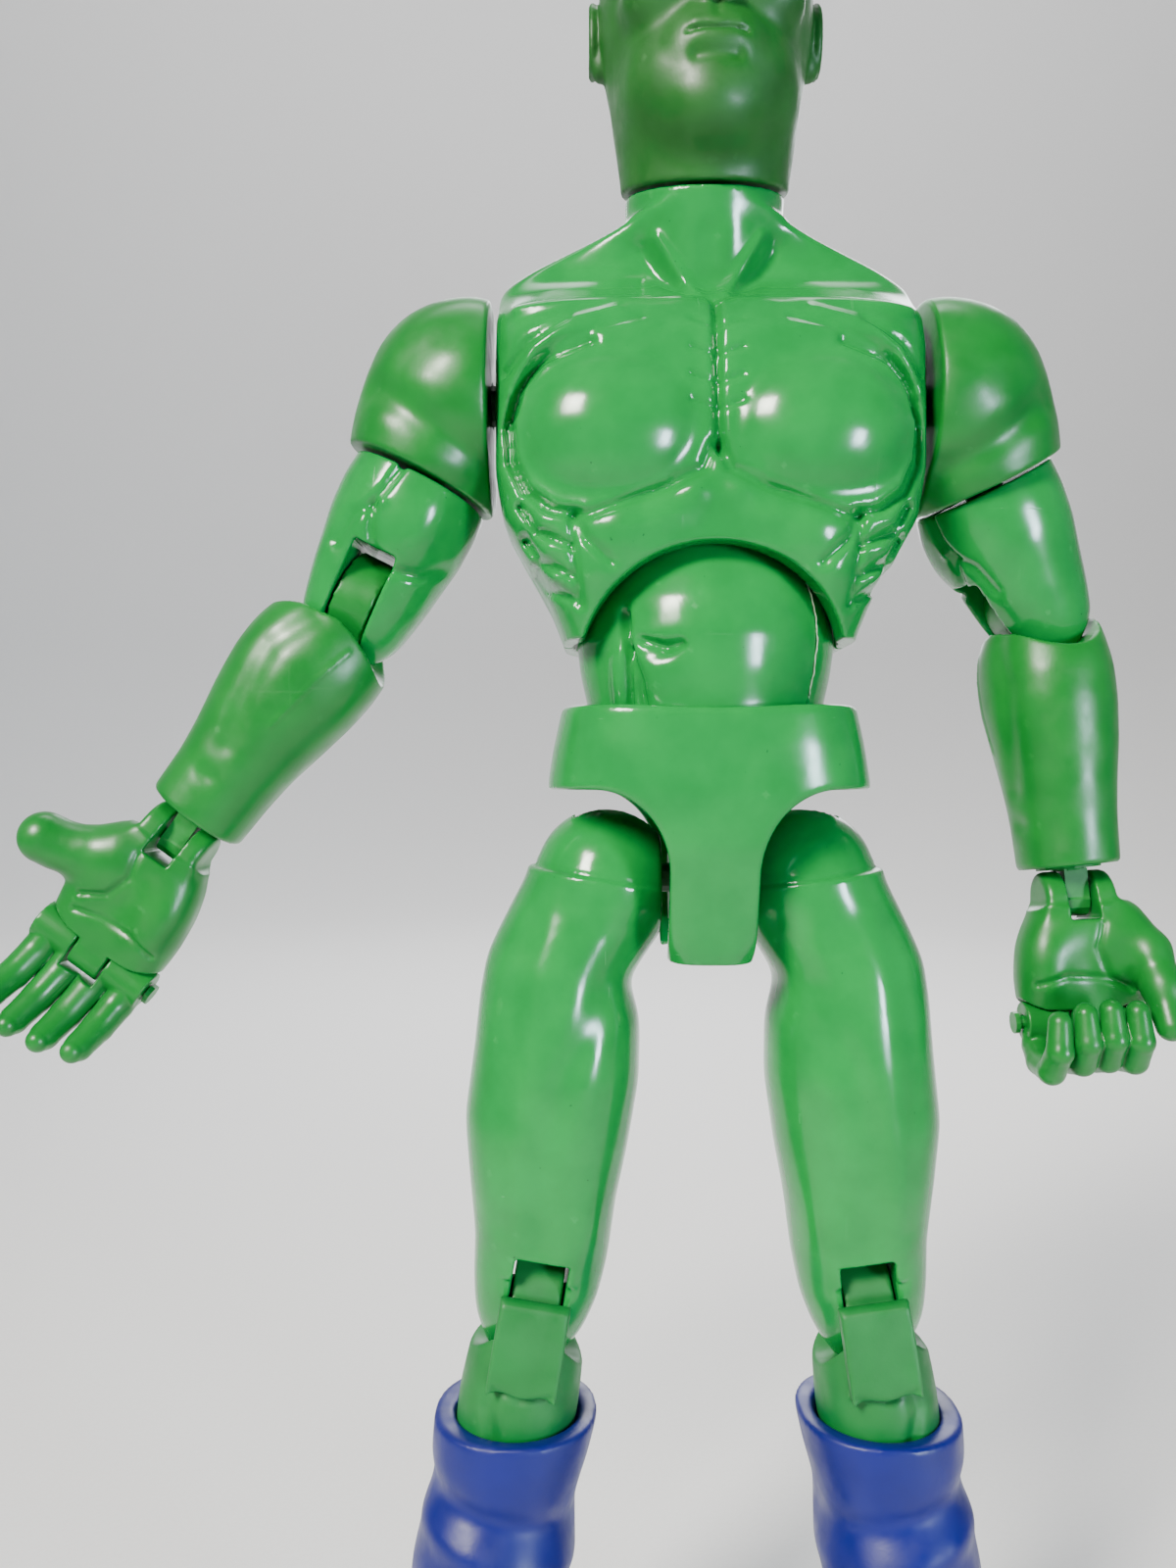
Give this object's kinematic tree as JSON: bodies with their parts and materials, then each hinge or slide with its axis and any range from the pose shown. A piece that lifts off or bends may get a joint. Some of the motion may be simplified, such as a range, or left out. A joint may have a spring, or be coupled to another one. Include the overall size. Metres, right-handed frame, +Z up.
{
  "type": "jointed action figure",
  "caption": "Green muscular jointed toy figure with blue boots, turning neck, waist, arms, wrists, hinged fingers, hips and knees; stands on flat soles.",
  "frame": {"origin": "on the floor under the middle of the bounding box, with the soles at z 0", "axes": "+Z up from the soles to the top of the head, +X towards the figure's own left arm, -Y the way the figure faces"},
  "size_m": [0.1722, 0.0534, 0.292],
  "materials": {
    "hard_green": "glossy injection-moulded hard plastic, lightly scratched",
    "soft_green": "satin flexible vinyl",
    "pale_green": "paler matte plastic",
    "head_green": "dull rotocast vinyl",
    "blue_vinyl": "soft pull-on vinyl, semi-matte",
    "inner_plastic": "plain unpainted inner plastic"
  },
  "bodies": {
    "pelvis": {"pelvis_front": "hard_green", "pelvis_back": "hard_green", "hip_block": "inner_plastic", "waist_post": "inner_plastic"},
    "abdomen": {"abdomen_front": "hard_green", "abdomen_back": "hard_green"},
    "waist_link": {"waist_link": "inner_plastic"},
    "waist_cross": {"waist_cross": "inner_plastic"},
    "chest": {"chest_front": "hard_green", "chest_back": "hard_green", "chest_post": "inner_plastic"},
    "head": {"head": "head_green", "neck_peg": "inner_plastic"},
    "right_shoulder": {"right_shoulder": "soft_green", "right_shoulder_peg": "inner_plastic", "right_bicep_peg": "inner_plastic"},
    "right_upper_arm": {"right_upper_arm": "hard_green", "right_elbow_pin": "inner_plastic"},
    "right_forearm": {"right_forearm": "soft_green"},
    "right_wrist": {"right_wrist_link": "soft_green"},
    "right_hand": {"right_palm": "soft_green", "right_wrist_pin": "inner_plastic", "right_finger_pin": "soft_green"},
    "right_fingers": {"right_fingers": "soft_green"},
    "right_hip": {"right_hip_link": "inner_plastic"},
    "right_thigh": {"right_thigh": "hard_green", "right_hip_pin": "inner_plastic", "right_knee_pin": "inner_plastic"},
    "right_shin": {"right_shin": "pale_green", "right_boot": "blue_vinyl"},
    "left_shoulder": {"left_shoulder": "soft_green", "left_shoulder_peg": "inner_plastic", "left_bicep_peg": "inner_plastic"},
    "left_upper_arm": {"left_upper_arm": "hard_green", "left_elbow_pin": "inner_plastic"},
    "left_forearm": {"left_forearm": "soft_green"},
    "left_wrist": {"left_wrist_link": "soft_green"},
    "left_hand": {"left_palm": "soft_green", "left_wrist_pin": "inner_plastic", "left_finger_pin": "soft_green"},
    "left_fingers": {"left_fingers": "soft_green"},
    "left_hip": {"left_hip_link": "inner_plastic"},
    "left_thigh": {"left_thigh": "hard_green", "left_hip_pin": "inner_plastic", "left_knee_pin": "inner_plastic"},
    "left_shin": {"left_shin": "pale_green", "left_boot": "blue_vinyl"}
  },
  "joints": [
    {"name": "waist_turn", "type": "hinge", "parent": "pelvis", "child": "abdomen", "pos_m": [0.0185, 0.0067, 0.1655], "axis": [0, 0, 1], "continuous": true},
    {"name": "chest_turn", "type": "hinge", "parent": "abdomen", "child": "waist_link", "pos_m": [0.0185, 0.0067, 0.173], "axis": [0, 0, 1], "continuous": true},
    {"name": "chest_bow", "type": "hinge", "parent": "waist_link", "child": "waist_cross", "pos_m": [0.0185, 0.0067, 0.183], "axis": [1, 0, 0], "range_deg": [-10, 15]},
    {"name": "chest_lean", "type": "hinge", "parent": "waist_cross", "child": "chest", "pos_m": [0.0185, 0.0067, 0.183], "axis": [0, 1, 0], "range_deg": [-10, 10]},
    {"name": "neck_turn", "type": "hinge", "parent": "chest", "child": "head", "pos_m": [0.0185, 0.0067, 0.2495], "axis": [0, -0.2588, 0.9659], "continuous": true},
    {"name": "right_shoulder_swing", "type": "hinge", "parent": "chest", "child": "right_shoulder", "pos_m": [-0.0126, 0.0067, 0.2186], "axis": [-1, 0, 0], "continuous": true},
    {"name": "right_arm_twist", "type": "hinge", "parent": "right_shoulder", "child": "right_upper_arm", "pos_m": [-0.0231, 0.0067, 0.20715], "axis": [0.4509, 0, 0.8926], "continuous": true},
    {"name": "right_elbow_bend", "type": "hinge", "parent": "right_upper_arm", "child": "right_forearm", "pos_m": [-0.03189, 0.0067, 0.18974], "axis": [-0.8926, 0, 0.4509], "range_deg": [0, 48]},
    {"name": "right_wrist_turn", "type": "hinge", "parent": "right_forearm", "child": "right_wrist", "pos_m": [-0.05659, 0.0067, 0.15802], "axis": [0.6143, 0, 0.7891], "continuous": true},
    {"name": "right_wrist_bend", "type": "hinge", "parent": "right_wrist", "child": "right_hand", "pos_m": [-0.05954, 0.0067, 0.15424], "axis": [-0.809, 0, 0.5878], "range_deg": [-25, 25]},
    {"name": "right_finger_grip", "type": "hinge", "parent": "right_hand", "child": "right_fingers", "pos_m": [-0.07159, 0.0067, 0.13765], "axis": [-0.809, 0, 0.5878], "range_deg": [-5, 45]},
    {"name": "right_hip_swing", "type": "hinge", "parent": "pelvis", "child": "right_hip", "pos_m": [0.004, 0.0067, 0.149], "axis": [-1, 0, 0], "range_deg": [-20, 60]},
    {"name": "right_hip_spread", "type": "hinge", "parent": "right_hip", "child": "right_thigh", "pos_m": [0.004, 0.0067, 0.149], "axis": [0, 1, 0], "range_deg": [-4, 22]},
    {"name": "right_knee_bend", "type": "hinge", "parent": "right_thigh", "child": "right_shin", "pos_m": [-0.00634, 0.0067, 0.08787], "axis": [0.986, 0, -0.1668], "range_deg": [0, 58]},
    {"name": "left_shoulder_swing", "type": "hinge", "parent": "chest", "child": "left_shoulder", "pos_m": [0.0496, 0.0067, 0.2186], "axis": [-1, 0, 0], "continuous": true},
    {"name": "left_arm_twist", "type": "hinge", "parent": "left_shoulder", "child": "left_upper_arm", "pos_m": [0.0601, 0.00869, 0.20732], "axis": [-0.4509, -0.155, 0.879], "continuous": true},
    {"name": "left_elbow_bend", "type": "hinge", "parent": "left_upper_arm", "child": "left_forearm", "pos_m": [0.06889, 0.01171, 0.19018], "axis": [-0.155, 0.9834, 0.0939], "range_deg": [-23, 10]},
    {"name": "left_wrist_turn", "type": "hinge", "parent": "left_forearm", "child": "left_wrist", "pos_m": [0.07291, 0.00828, 0.15033], "axis": [-0.1001, 0.0853, 0.9913], "continuous": true},
    {"name": "left_wrist_bend", "type": "hinge", "parent": "left_wrist", "child": "left_hand", "pos_m": [0.07339, 0.00787, 0.14557], "axis": [-0.9986, 0, -0.0523], "range_deg": [-25, 25]},
    {"name": "left_finger_grip", "type": "hinge", "parent": "left_hand", "child": "left_fingers", "pos_m": [0.0743, 0.00604, 0.12819], "axis": [-0.9986, 0, -0.0523], "range_deg": [-45, 0]},
    {"name": "left_hip_swing", "type": "hinge", "parent": "pelvis", "child": "left_hip", "pos_m": [0.033, 0.0067, 0.149], "axis": [-1, 0, 0], "range_deg": [-20, 60]},
    {"name": "left_hip_spread", "type": "hinge", "parent": "left_hip", "child": "left_thigh", "pos_m": [0.033, 0.0067, 0.149], "axis": [0, -1, 0], "range_deg": [-4, 22]},
    {"name": "left_knee_bend", "type": "hinge", "parent": "left_thigh", "child": "left_shin", "pos_m": [0.04163, 0.0067, 0.0876], "axis": [0.9903, 0, 0.1392], "range_deg": [0, 58]}
  ]
}
